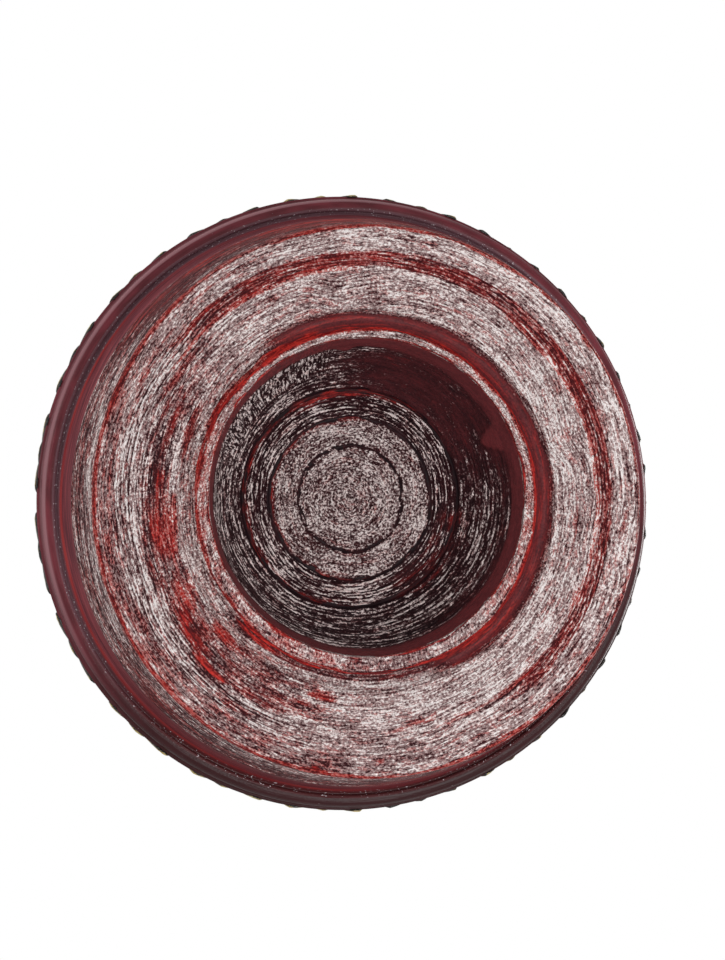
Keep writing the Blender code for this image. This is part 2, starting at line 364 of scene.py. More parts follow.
def base_layers(turning, rng):
    """How rubbed, red and dark the base is, and how deep its fine grooves are, from 0 to about 1."""
    r, z, seen = turning.radius, turning.z, turning.seen
    wander = turning.noise(3.0, 18, rng) * 0.35
    rr = r + wander
    torn = rr + turning.noise(0.5, 60, rng) * 0.5
    under = z < SEAM_Z - 0.5
    face = (r > RECESS_MOUTH_R - 0.2) & under
    recess = (r <= RECESS_MOUTH_R - 0.2) & (z < DEEP_Z)
    left = facing(seen, 152, 238, 26)
    blank = np.zeros(turning.height.shape)
    rough = blank + 0.93 + 0.07 * facing(seen, -70, 60, 40)
    red = blank + 0.10 + 0.10 * left
    dark, comb = blank.copy(), blank + 0.25

    # the hollow round the foot ring: smooth maroon at the right, rubbed at the left
    calm_side = facing(seen, -58, 116, 14)
    inner_calm = smooth(rr, RING_OUTER_R - 0.3, RING_OUTER_R + 0.2)
    inner_calm *= 1.0 - smooth(torn, HOLLOW_OUTER_R - 1.8, HOLLOW_OUTER_R + 0.6)
    smooth_hollow = inner_calm * calm_side
    traced = within(rr, RING_OUTER_R + 0.2, RING_OUTER_R + 2.0, 0.6) * facing(seen, 228, 310, 14)
    rough -= 0.95 * smooth_hollow + 0.60 * traced
    red += 0.16 * smooth_hollow + 0.12 * traced
    dark += 0.10 * smooth_hollow + 0.35 * traced
    comb -= 0.25 * smooth_hollow - 0.3 * traced
    rough += 0.07 * inner_calm * facing(seen, 205, 315, 20)

    # the shallow band: dark red with fine lines, rubbed away at the left and the bottom
    tooled = within(rr, BAND_INNER_R + 0.3, BAND_OUTER_R - 0.7, 0.6)
    band_side = facing(seen, -44, 128, 18)
    rough -= tooled * (0.46 * band_side - 0.06 * left)
    red += 0.40 * tooled * band_side
    comb += tooled * (0.65 * band_side + 0.5 * left)
    dark += 0.25 * tooled * band_side
    lit_edge = within(torn, BAND_INNER_R - 0.6, BAND_INNER_R + 0.1, 0.3)
    lit_edge *= np.maximum(facing(seen, -24, 48, 10), facing(seen, 98, 140, 10))
    red += 0.85 * lit_edge
    rough -= 0.10 * lit_edge

    # the left of the face has lost more of its rubbed coat
    worn = within(rr, HOLLOW_OUTER_R + 0.5, BAND_INNER_R - 2.0, 2.0) * left
    rough -= 0.20 * worn + 0.06 * left
    red -= 0.08 * left * within(rr, BAND_INNER_R - 1.0, BAND_OUTER_R - 1.0, 1.0)
    dark += 0.20 * worn
    comb += 0.30 * left * within(rr, 60.0, 67.0, 2.0)
    right_margin = within(rr, BAND_OUTER_R + 0.5, ARRIS_R - 0.5, 0.8) * facing(seen, -40, 35, 20)
    rough -= 0.05 * right_margin
    margin = within(rr, BAND_OUTER_R + 0.5, ARRIS_R - 0.5, 0.8) * facing(seen, 145, 330, 25)
    rough -= 0.11 * margin
    red += 0.11 * margin * facing(seen, 150, 262, 20)

    # thin red edges: the outer one and the two of the foot ring
    arris_red = 0.35 + 0.65 * np.maximum(facing(seen, 128, 330, 18), facing(seen, 20, 100, 15))
    arris = within(torn, ARRIS_R - 0.8, ARRIS_R + 0.4, 0.3)
    red += 0.80 * arris * arris_red
    rough -= arris * (0.30 + 0.14 * facing(seen, 10, 100, 15))
    outer_edge = within(torn, RING_OUTER_R - 0.30, RING_OUTER_R + 0.20, 0.25) * face
    glow = within(torn, RING_OUTER_R - 0.3, RING_OUTER_R + 1.1, 0.5) * facing(seen, 112, 150, 8) * face
    inner_edge = within(torn, RECESS_MOUTH_R - 0.2, RECESS_MOUTH_R + 0.15, 0.15) * face
    right_ring = 0.55 + 0.45 * facing(seen, -45, 120, 20)
    red += 0.95 * outer_edge * right_ring + 0.75 * glow + 0.45 * inner_edge
    rough -= 0.50 * outer_edge + 0.45 * glow + 0.60 * inner_edge
    ring_top = within(r, RECESS_MOUTH_R + 0.4, RING_OUTER_R - 0.5, 0.3) * face
    rough -= 0.02 * ring_top
    red += ring_top * (0.20 * facing(seen, 150, 260, 20) + 0.22 * facing(seen, -30, 60, 20))
    rough -= 0.15 * ring_top * facing(seen, 262, 335, 15)
    comb -= 0.20 * ring_top

    # the flared side
    side = (z > FACE_Z + ARRIS_ROUND + 0.3) & (r > SPIGOT_R + 1.0) & under
    high = smooth(z + 2.2 * turning.noise(40.0, 5, rng), 3.0, SEAM_Z - 3.0)
    bright_side = np.maximum(facing(seen, 152, 205, 16), 0.6 * facing(seen, 205, 262, 16))
    rough = np.where(side, 0.40 + 0.52 * bright_side - 0.30 * high, rough)
    red = np.where(side, 0.20 + 0.10 * high + 0.16 * facing(seen, 55, 100, 20), red)
    dark = np.where(side, 0.40 - 0.15 * bright_side, dark)
    comb = np.where(side, 0.75, comb)

    shreds = turning.noise(0.7, 24, rng) + turning.noise(1.8, 50, rng)
    strips = np.clip(1.6 * turning.noise(0.6, 14, rng) + 0.8 * turning.noise(0.45, 40, rng), -1.0, 1.0)

    # long arcs that are rubbed more or less, and a mottled zone at the left that is half torn off
    arcs = turning.noise(1.7, 5, rng) + 0.7 * turning.noise(3.6, 9, rng)
    rough += 0.085 * arcs * face
    mottle = np.clip(turning.noise(1.3, 30, rng) + 0.8 * turning.noise(3.0, 16, rng), -1.0, 1.0)
    zone = within(rr, HOLLOW_OUTER_R + 1.0, BAND_INNER_R - 0.5, 2.0) * facing(seen, 156, 250, 22) * face
    rough += 0.22 * mottle * zone
    red += zone * (0.10 - 0.20 * mottle)
    dark += zone * np.clip(-0.4 * mottle, 0.0, 0.4)
    for angle, radius, half_angle, half_radius, redder, barer, darker in PATCHES:
        across = turned(seen, angle) / half_angle
        away = np.abs(across) ** 2.2 + np.abs((torn - radius) / half_radius) ** 2.0 + 0.35 * shreds
        patch = (1.0 - smooth(away, 0.1, 1.3)) * (0.72 + 0.28 * strips) * face
        red += redder * patch
        rough -= barer * patch
        dark += darker * patch

    # the recess: fine grooves whose beads carry painted highlights at the left and bottom, bare and dark
    # elsewhere
    slope = recess & (r > RECESS_FLOOR_R)
    wavering = seen + 9.0 * turning.noise(6.0, 9, rng)
    bare = facing(wavering, 36, 72, 34)
    half_bare = facing(wavering, -42, 30, 26)
    slope_rough = 0.55 - 0.36 * bare - 0.12 * half_bare * (1.0 - bare)
    slope_rough = slope_rough - 0.22 * smooth(r, 37.5, 40.5) * facing(seen, -60, 20, 20)
    annulus = within(r, FLOOR_RINGS_R[1] + 0.3, RECESS_FLOOR_R, 0.5)
    floor_rough = 0.83 - 0.24 * annulus - 0.10 * annulus * facing(seen, -60, 60, 30)
    rough = np.where(recess, floor_rough, rough)
    rough = np.where(slope, slope_rough, rough)
    stain = facing(seen, 300, 348, 14) * within(torn, 25.5, 31.0, 1.4)
    stain = np.maximum(stain, 0.8 * facing(seen, 55, 120, 12) * within(torn, 27.5, 30.0, 0.8))
    red = np.where(recess, 0.03 + 0.20 * stain, red)
    rough -= 0.18 * stain * recess
    dark = np.where(recess, 0.50 + 0.35 * annulus, dark)
    dark = np.where(slope, 0.90 - 0.30 * bare - 0.16 * half_bare * (1.0 - bare), dark)
    comb = np.where(recess, 0.15 + 0.95 * annulus, comb)
    comb = np.where(slope, 1.0 - 0.8 * bare, comb)
    on_wall = smooth(r, RECESS_STEP_R - 0.9, RECESS_STEP_R - 0.3)
    set_lacquer = np.clip(on_wall + drips(turning), 0.0, 1.0) * recess
    rough += (-0.05 - rough) * set_lacquer
    red *= 1.0 - set_lacquer
    dark += (0.06 - dark) * set_lacquer
    comb *= 1.0 - set_lacquer
    for radius, width in zip((*FLOOR_RINGS_R, RECESS_FLOOR_R), (0.28, 0.42, 0.42)):
        line = within(torn, radius - 0.1, radius + width, 0.25) * recess * (z > RECESS_FLOOR_Z - 1.5)
        rough -= 0.8 * line
        dark += 0.5 * line
        lip = within(torn, radius - 1.0, radius - 0.3, 0.3) * recess * (z > RECESS_FLOOR_Z - 1.5)
        lip *= facing(seen, 95, 250, 35) * (radius > 20.0)
        red += 0.34 * lip
        rough -= 0.22 * lip
    mottled = turning.noise(2.6, 40, rng)
    rough += 0.05 * mottled + 0.06 * turning.noise(7.0, 14, rng)
    return rough, red, dark, comb, slope


# drips in the recess: seen angle, radius that the drip reaches and half angle
DRIPS = ((24.0, 37.4, 9.0), (97.0, 40.0, 10.0))


def drips(turning):
    """Lacquer that ran down the recess wall and set, from 0 to 1."""
    r, seen = turning.radius, turning.seen
    total = 0.0
    for angle, reach, width in DRIPS:
        across = np.clip(turned(seen, angle) / width, -1.0, 1.0)
        edge = reach + (RECESS_STEP_R + 0.8 - reach) * (0.5 - 0.5 * np.cos(across * math.pi))
        total = np.maximum(total, smooth(r, edge - 0.4, edge + 0.5))
    return total * (r < RECESS_STEP_R + 0.8) * (turning.z < DEEP_Z)


def base_height(turning, rng):
    """Tool ridges, chatter, drips and a wavering arris, as a height in millimetres."""
    r, z, seen = turning.radius, turning.z, turning.seen
    exposed = smooth(SEAM_Z - 0.8 - z, 0.0, 0.5) * (r > 0.0)
    exposed = np.clip(exposed + (r < SPIGOT_R - 2.0) * (z < DEEP_Z), 0.0, 1.0)
    recess = (r < RECESS_MOUTH_R + 0.3) & (z < DEEP_Z)
    ridges = turning.noise(0.62, 9, rng) + 0.7 * turning.noise(0.95, 22, rng)
    chatter = turning.noise(0.55, 110, rng)
    lumps = turning.noise(1.6, 60, rng)
    height = 0.065 * ridges + 0.075 * chatter + 0.05 * lumps
    calm = within(r, RING_OUTER_R + 0.3, HOLLOW_OUTER_R - 0.6, 0.6) * ~recess
    calm = calm * facing(seen, -52, 118, 16)
    wall = recess & (r > RECESS_STEP_R - 0.5) & (z < RECESS_STEP_Z + 0.5)
    height = height * (1.0 - 0.85 * calm) * np.where(wall, 0.12, 1.0)
    height += 0.05 * turning.noise(1.05, 5, rng) * within(r, BAND_INNER_R, BAND_OUTER_R, 0.5)

    x, y = r * np.cos(np.radians(seen)), r * np.sin(np.radians(seen))
    for off_x, off_y, radius, start, end in STRAY_CUTS:
        away = np.hypot(x - off_x, y - off_y) - radius
        cut = np.exp(-((away / 0.28) ** 2)) * facing(seen, start, end, 14.0)
        height -= 0.16 * cut * (r > HOLLOW_OUTER_R) * (z < 2.0)

    # engraved rings on the recess floor, and one worn line high on its left slope
    for radius in (*FLOOR_RINGS_R, RECESS_FLOOR_R):
        groove = np.exp(-(((r - radius - 0.1) / 0.32) ** 2)) * recess * (z > RECESS_FLOOR_Z - 2.0)
        height -= 0.32 * groove
    line = np.exp(-(((r - WORN_LINE_R) / 0.3) ** 2)) * facing(seen, 228, 292, 10) * recess
    height -= 0.2 * line

    drip = drips(turning)
    thickness = 0.55 * smooth(-r, -RECESS_STEP_R, -RECESS_STEP_R + 1.5)
    height = height * (1.0 - 0.85 * drip) + drip * thickness

    # a small spot with a ring round it near the middle of the recess floor
    mark_x, mark_y = 0.3, 1.3
    away = np.hypot(x - mark_x, y - mark_y)
    spot = 0.25 * np.exp(-((away / 0.5) ** 2)) - 0.3 * np.exp(-(((away - 1.1) / 0.3) ** 2))
    height += spot * recess
    return height * exposed


def make_base():
    """The base block, with its recess a little off the turning centre."""
    section = base_section()
    radius = section[:, 0:1]
    z = section[:, 1:2]
    in_recess = (z < DEEP_Z) & (radius < RING_OUTER_R)
    shift = smooth(-radius, -(RECESS_MOUTH_R + 2.2), -(RECESS_MOUTH_R + 0.4)) * in_recess
    rim_shift = smooth(radius, BAND_OUTER_R, ARRIS_R - 0.5) * (1.0 - smooth(z, 1.5, SEAM_Z - 1.0))
    turning = Turning(section, BASE_COLUMNS, ARRIS_OFFSET * rim_shift, -RECESS_OFFSET * shift)
    rng = np.random.default_rng(SEED)
    turning.height = base_height(turning, rng)
    rough, red, dark, comb, slope = base_layers(turning, rng)
    reach = np.where(turning.radius > RECESS_MOUTH_R, 60.0, 37.0)
    flat_floor = (radius < RECESS_FLOOR_R) & (z < DEEP_Z)
    x, y = turning.radius * np.cos(turning.turn), turning.radius * np.sin(turning.turn)
    run_x = np.where(flat_floor, x, reach * np.cos(turning.turn))
    run_y = np.where(flat_floor, y, reach * np.sin(turning.turn))
    run_z = turning.along + 0.0 * turning.turn
    scrape = slope * facing(turning.seen, 108, 158, 10) * smooth(turning.radius, 34.0, 36.0)
    scrape = np.maximum(scrape, 0.45 * flat_floor * (turning.radius < FLOOR_RINGS_R[1]))
    turning.layers = {
        "run": np.stack([run_x, run_y, run_z], -1),
        "cut": cut_path(turning, rng),
        "rough": rough,
        "red": np.clip(red, 0.0, 1.2),
        "dark": np.clip(dark, 0.0, 1.0),
        "comb": np.clip(comb, 0.0, 1.2),
        "ridge": turning.height / RIDGE_HEIGHT,
        "scrape": scrape,
    }
    made = piece("base_block_turned", turning.mesh("base_block_turned"), "base_lacquer", "base_block")
    made.data.materials.append(worn_lacquer())
    return made


# ================================================================ bowl body
BODY_COLUMNS = 300


def make_body():
    """The bowl body: smooth mouldings below, relief ground, painted wall, rim and inside."""
    section = body_section()
    squeeze = 1.0 - (1.0 - WALL_SQUEEZE) * smooth(section[:, 1:2], SEAM_Z, BEAD_Z)
    turning = Turning(section, BODY_COLUMNS, squeeze=squeeze)
    rng = np.random.default_rng(SEED + 1)
    r, z, seen = turning.radius, turning.z, turning.seen
    moulded = (z < FOOT_Z) & (r > SEAM_R - 1.0)
    marks = 0.030 * turning.noise(0.7, 12, rng) + 0.022 * turning.noise(1.1, 60, rng)
    swell = 0.05 * turning.noise(9.0, 18, rng)
    hidden = (z < SPIGOT_TOP_Z + 1.0) & (r < SEAM_R - 0.5)
    turning.height = np.where(hidden, 0.0, np.where(moulded, marks, swell * 0.6))
    reach = np.where(r > 10.0, 80.0, 40.0)
    run = [reach * np.cos(turning.turn), reach * np.sin(turning.turn), turning.along + 0.0 * turning.turn]
    past_rim = turning.along > turning.along[np.argmax(turning.section[:, 1])]
    outside = past_rim & (z >= FOOT_Z)
    under = past_rim & (z < FOOT_Z)
    rr = r + 0.16 * turning.noise(1.2, 9, rng)
    groove = under * within(rr, COVE_R + 0.1, COVE_R + 1.7, 0.35) * (z > COVE_Z - 0.6)
    bead = under * smooth(rr, COVE_R + 1.5, COVE_R + 2.1)
    lit = under * within(z, COVE_Z - 1.3, COVE_Z - 0.4, 0.7) * (r < COVE_R + 0.3)
    shine = bead * within(rr, BEAD_EDGE_R - 0.75, BEAD_EDGE_R - 0.25, 0.3) * facing(seen, 88, 190, 30)
    turning.layers = {
        "run": np.stack(run, -1),
        "inside": ~past_rim,
        "wall": outside,
        "groove": groove,
        "bead": bead,
        "lit": lit * (0.15 + 0.65 * facing(seen, 150, 262, 20)),
        "shine": shine,
    }
    made = piece("bowl_body_turned", turning.mesh("bowl_body_turned"), "body_lacquer", "bowl_body")
    made.data.materials.append(painted_lacquer())
    return made


# ================================================================ petal border
# where gold is left on the border: seen angle, half angle and how much; elsewhere it is GILT_REST
GILT_REST = 0.34
GILT_PLACES = (
    (90, 16, 0.9),
    (240, 17, 1),
    (270, 7, 0.9),
    (300, 7, 0.8),
    (145, 28, 0.5),
    (180, 14, 0.35),
)


def gilt_left(angle):
    """How much gold is left on the border at a seen angle, from 0 to 1."""
    left = GILT_REST
    for at, wide, most in GILT_PLACES:
        near = 1.0 - smooth(abs(turned(angle, at)), wide * 0.6, wide * 1.4)
        left = max(left, most * float(near))
    return left


def petal_dome(across, up, lean, length, width, rise):
    """Height of one hanging petal over the wall, and 1 inside its outline. Its root is at the origin."""
    side = across * math.cos(lean) + up * math.sin(lean)
    down = (across * math.sin(lean) - up * math.cos(lean)) / length
    half = width * (0.30 + 0.70 * np.sin(np.clip(down, 0.0, 1.0) * math.pi / 2.0) ** 1.2)
    half = half * np.sqrt(np.clip(1.0 - np.clip((down - 0.62) / 0.38, 0.0, 1.0) ** 2.2, 0.0, 1.0))
    inside = np.clip(1.0 - (side / np.maximum(half, 1e-3)) ** 2, 0.0, 1.0) * (down > 0.0) * (down < 1.0)
    dome = rise * (0.72 + 0.28 * np.clip(down, 0.0, 1.0)) * inside ** 0.5
    rib = np.exp(-((side / 0.38) ** 2)) * within(down, 0.10, 0.88, 0.06)
    veins = 0.5 + 0.5 * np.cos((np.abs(side) * 1.1 + down * length) * 2.1)
    return dome - inside * (0.42 * rib + 0.22 * veins * (1.0 - rib)) * rise


def sprig_mesh(name, middle, rng):
    """One sprig: three petals and a boss over the wall, closed behind, round the turn at middle."""
    half_span = 11.4
    across = np.linspace(-half_span, half_span, 76)[None, :]
    z = np.linspace(PETAL_TIP_Z - 0.9, PETAL_TIP_Z + PETAL_LENGTH + 2.2, 64)[:, None]
    up = z - (PETAL_TIP_Z + PETAL_LENGTH)
    height = np.zeros((z.shape[0], across.shape[1]))
    reach = PETAL_LENGTH / math.cos(PETAL_LEAN) * 1.03
    for lean, length in ((0.0, PETAL_LENGTH), (PETAL_LEAN, reach), (-PETAL_LEAN, reach)):
        wide, long, tall = rng.uniform(0.94, 1.04), rng.uniform(0.975, 1.02), rng.uniform(0.8, 1.0)
        lean = lean + rng.uniform(-0.03, 0.03)
        shape = petal_dome(across, up, lean, length * long, PETAL_HALF_WIDTH * wide, PETAL_RISE * tall)
        height = np.maximum(height, shape)
    away = np.hypot(across, up - 0.1)
    height = np.maximum(height, PETAL_RISE * np.sqrt(np.clip(1.0 - (away / 1.9) ** 2, 0.0, 1.0)))
    grain = lattice(*np.broadcast_arrays(z / 0.8, across / 0.8 + 40.0), 80, rng)
    solid = height > 0.02
    height = np.where(solid, np.clip(height + 0.03 * grain * (height > 0.2), 0.04, PETAL_RISE), 0.0)
    keep = solid.copy()
    keep[1:] |= solid[:-1]
    keep[:-1] |= solid[1:]
    keep[:, 1:] |= solid[:, :-1]
    keep[:, :-1] |= solid[:, 1:]

    ground = wall_radius(z) + 0.0 * across
    turn = middle + across / FOOT_R

    def shell(lift):
        radius = ground + lift
        x = radius * np.cos(turn) * OUT_OF_ROUND
        return np.stack([x, radius * np.sin(turn) * WALL_SQUEEZE, z + 0.0 * across], -1).reshape(-1, 3)

    points = np.concatenate([shell(height - 0.05), shell(-0.35 + 0.0 * height)]) * MM
    rows, columns = height.shape
    index = np.arange(rows * columns).reshape(rows, columns)
    cell = keep[:-1, :-1] & keep[:-1, 1:] & keep[1:, :-1] & keep[1:, 1:]
    corners = np.stack([index[:-1, :-1], index[:-1, 1:], index[1:, 1:], index[1:, :-1]], -1)[cell]
    back = corners[:, ::-1] + rows * columns
    edges = dict.fromkeys(edge for quad in corners.tolist() for edge in zip(quad, quad[1:] + quad[:1]))
    rim = [(a, b) for a, b in edges if (b, a) not in edges]
    sides = [(b, a, a + rows * columns, b + rows * columns) for a, b in rim]
    faces = corners.tolist() + back.tolist() + sides
    used = sorted({v for f in faces for v in f})
    renumber = {old: new for new, old in enumerate(used)}
    mesh = bpy.data.meshes.new(name)
    mesh.from_pydata(points[used].tolist(), [], [[renumber[v] for v in f] for f in faces])
    mesh.shade_smooth()
    lifted = np.concatenate([height.ravel(), 0.0 * height.ravel()])[used]
    store(mesh, "lift", lifted / PETAL_RISE)
    gilt = gilt_left(math.degrees(-middle) % 360.0) + rng.uniform(-0.08, 0.08)
    store(mesh, "gilt", np.full(len(used), gilt))
    return mesh


def make_border():
    """One sprig for each CAD sprig, about the middle of its own node."""
    skin = gilded_relief()
    for count, node in enumerate(SPRIGS):
        low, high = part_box(node)
        middle = (low + high) / 2.0
        rng = np.random.default_rng(SEED + 10 + count)
        mesh = sprig_mesh(f"{node}_gilded", math.atan2(middle.y, middle.x / OUT_OF_ROUND), rng)
        made = piece(f"{node}_gilded", mesh, "gilding", node)
        made.data.materials.append(skin)


# ================================================================ materials
NOISE_SPREAD = 0.115    # how far the noise texture mostly strays from 0.5


class Nodes:
    """Short calls for a material's node tree. A value may be a number, a colour or a socket."""

    def __init__(self, name):
        self.material = bpy.data.materials.new(name)
        self.material.use_nodes = True
        self.tree = self.material.node_tree
        self.shader = self.tree.nodes["Principled BSDF"]

    def put(self, socket, value):
        if isinstance(value, bpy.types.NodeSocket):
            self.tree.links.new(value, socket)
        else:
            socket.default_value = value

    def math(self, operation, a, b=0.0, clamp=False):
        node = self.tree.nodes.new("ShaderNodeMath")
        node.operation = operation
        node.use_clamp = clamp
        self.put(node.inputs[0], a)
        self.put(node.inputs[1], b)
        return node.outputs[0]

    def add(self, *terms):
        total = terms[0]
        for term in terms[1:]:
            total = self.math("ADD", total, term)
        return total

    def times(self, *factors):
        total = factors[0]
        for factor in factors[1:]:
            total = self.math("MULTIPLY", total, factor)
        return total

    def ease(self, value, low, high):
        """0 to 1 as value goes from low to high, eased; low may be above high."""
        node = self.tree.nodes.new("ShaderNodeMapRange")
        node.interpolation_type = "SMOOTHSTEP"
        for socket, number in zip(node.inputs, (value, low, high, 0.0, 1.0)):
            self.put(socket, number)
        return node.outputs[0]

    def grain(self, vector, slow, quick, detail, roughness, distortion=0.0):
        """Noise about 0 and about 1 wide; x and y are scaled by slow, and z by quick."""
        scaled = self.tree.nodes.new("ShaderNodeVectorMath")
        scaled.operation = "MULTIPLY"
        self.put(scaled.inputs[0], vector)
        scaled.inputs[1].default_value = (slow, slow, quick)
        noise = self.tree.nodes.new("ShaderNodeTexNoise")
        values = (("Scale", 1.0), ("Detail", detail), ("Roughness", roughness), ("Distortion", distortion))
        for name, value in values:
            noise.inputs[name].default_value = value
        self.put(noise.inputs["Vector"], scaled.outputs[0])
        return self.math("DIVIDE", self.math("SUBTRACT", noise.outputs[0], 0.5), NOISE_SPREAD)

    def mix(self, factor, a, b):
        node = self.tree.nodes.new("ShaderNodeMix")
        node.data_type = "RGBA"
        node.clamp_factor = True
        for index, value in ((0, factor), (6, a), (7, b)):
            if not isinstance(value, bpy.types.NodeSocket) and index:
                value = (*value, 1.0)
            self.put(node.inputs[index], value)
        return node.outputs[2]

    def layer(self, name, vector=False):
        node = self.tree.nodes.new("ShaderNodeAttribute")
        node.attribute_name = name
        return node.outputs["Vector"] if vector else node.outputs["Fac"]

    def bump(self, height, distance, strength=1.0, under=None):
        node = self.tree.nodes.new("ShaderNodeBump")
        node.inputs["Distance"].default_value = distance
        node.inputs["Strength"].default_value = strength
        self.put(node.inputs["Height"], height)
        if under is not None:
            self.put(node.inputs["Normal"], under)
        return node.outputs[0]

    def finish(self, **sockets):
        for name, value in sockets.items():
            self.put(self.shader.inputs[name.replace("_", " ")], value)
        return self.material


def srgb(red, green, blue):
    """A colour given as 0 to 255, in Blender's linear values."""
    shares = (red / 255.0, green / 255.0, blue / 255.0)
    return tuple(((c + 0.055) / 1.055) ** 2.4 if c > 0.04045 else c / 12.92 for c in shares)


MAROON = srgb(110, 45, 48)
BLACK_LACQUER = srgb(28, 14, 18)


def worn_lacquer():
    """Lacquer on rough-turned wood: maroon and black in the hollows with painted shade in the deepest pits,
    rubbed grey on the grain that is partly painted sheen, and painted highlights on its tops.
    """
    n = Nodes("worn_lacquer")
    run, cut = n.layer("run", vector=True), n.layer("cut")
    rough, red, dark = n.layer("rough"), n.layer("red"), n.layer("dark")
    comb, ridge, scrape = n.layer("comb"), n.layer("ridge"), n.layer("scrape")
    split = n.tree.nodes.new("ShaderNodeSeparateXYZ")
    n.put(split.inputs[0], run)
    stroke = n.tree.nodes.new("ShaderNodeCombineXYZ")
    for socket, value in zip(stroke.inputs, (split.outputs[0], split.outputs[1], cut)):
        n.put(socket, value)
    stroke = stroke.outputs[0]

    grains = n.grain(run, 1.45, 1.75, 2.0, 0.6)
    pits = n.grain(run, 0.95, 1.8, 2.0, 0.6, 0.6)
    cracks = n.math("ABSOLUTE", n.grain(stroke, 0.42, 1.35, 1.0, 0.5, 0.7))
    streaks = n.grain(stroke, 0.38, 2.1, 2.0, 0.6)
    lines = n.grain(stroke, 0.055, 1.5, 2.0, 0.7)
    scribed = n.math("ABSOLUTE", n.grain(stroke, 0.035, 1.15, 1.0, 0.5))
    scratches = n.grain(run, 1.7, 0.40, 2.0, 0.55, 0.4)
    drift = n.grain(run, 0.13, 0.4, 2.0, 0.5)
    tint = n.grain(stroke, 0.15, 0.8, 3.0, 0.65)

    groove = n.math("SINE", n.add(n.times(cut, 6.6), n.times(drift, 0.9), n.times(streaks, 0.6)))
    along = n.math("SUBTRACT", 1.0, scrape)
    lined = n.times(n.add(0.55, n.times(comb, 0.6)), along)
    cracked = n.times(n.ease(cracks, 0.26, 0.04), -1.3)
    grainy = n.add(n.times(grains, 0.85), n.times(pits, 0.48), cracked, 0.25)
    brushed = n.times(lined, n.add(n.times(streaks, 0.75), n.times(lines, 0.72)))
    fine = n.add(grainy, brushed, n.times(comb, along, groove, 0.85), n.times(ridge, 0.25))
    fine = n.add(fine, n.times(scratches, scrape, 2.2))
    fine = n.times(fine, n.add(0.40, n.times(n.ease(rough, 0.0, 0.5), 0.60)))
    score_line = n.times(n.ease(scribed, 0.17, 0.05), lined, n.ease(rough, 0.3, 0.6))
    level = n.add(n.times(rough, 3.6), -2.20, fine, n.times(drift, 0.40), n.times(score_line, -2.3))

    maroon = n.mix(n.ease(fine, 1.2, -1.6), MAROON, srgb(72, 31, 35))
    ground = n.mix(n.add(dark, n.times(drift, 0.10)), maroon, BLACK_LACQUER)
    reds = n.ease(n.add(red, n.times(tint, 0.11), n.times(lines, 0.06)), 0.14, 0.80)
    varied = n.add(streaks, n.times(lines, 0.8), n.times(grains, 0.5))
    bright_red = n.mix(n.ease(varied, 2.0, -1.8), srgb(198, 52, 44), srgb(104, 18, 22))
    ground = n.mix(reds, ground, bright_red)
    pinks = n.ease(n.add(tint, n.times(pits, 0.7), n.times(red, 3.0)), 0.2, 2.6)
    # rubbed grey on the grain, partly painted sheen
    grey = n.mix(pinks, srgb(156, 128, 127), srgb(184, 106, 103))
    grey = n.mix(n.times(dark, 0.9), grey, srgb(96, 72, 75))
    grey = n.mix(n.times(reds, 0.6), grey, srgb(192, 84, 76))
    # the colour of the painted highlights, pinker where the lacquer is red
    blush = n.math("MAXIMUM", n.times(reds, 0.45), n.times(pinks, 0.5))
    painted_highlight = n.mix(blush, srgb(252, 232, 229), srgb(238, 168, 158))

    # painted shade: where the coat is rubbed, the grain's deepest pits go near-black
    painted_pit_shade = n.times(n.ease(level, 0.0, -1.6), n.ease(rough, 0.25, 0.7), 0.75)
    colour = n.mix(painted_pit_shade, ground, srgb(46, 22, 26))
    colour = n.mix(n.ease(level, -0.45, 0.35), colour, grey)
    # painted highlights on the grain's tops, and the brightest specks painted as glints
    highlight_from, highlight_to = n.add(0.75, n.times(dark, -0.25)), n.add(2.9, n.times(dark, -1.4))
    colour = n.mix(n.ease(level, highlight_from, highlight_to), colour, painted_highlight)
    painted_glint = n.times(n.ease(n.add(level, n.times(streaks, 0.3)), 2.1, 3.1), n.add(1.0, n.times(dark, -0.5)))
    colour = n.mix(painted_glint, colour, srgb(255, 246, 244))
    height = n.add(n.times(fine, n.ease(rough, -0.1, 0.6)), n.times(grains, 0.08))
    relief = n.bump(height, 0.00014, 0.9)
    gloss = n.add(0.42, n.times(n.ease(level, -0.3, 0.8), 0.12))
    return n.finish(Base_Color=colour, Roughness=gloss, Normal=relief, Specular_IOR_Level=0.1)


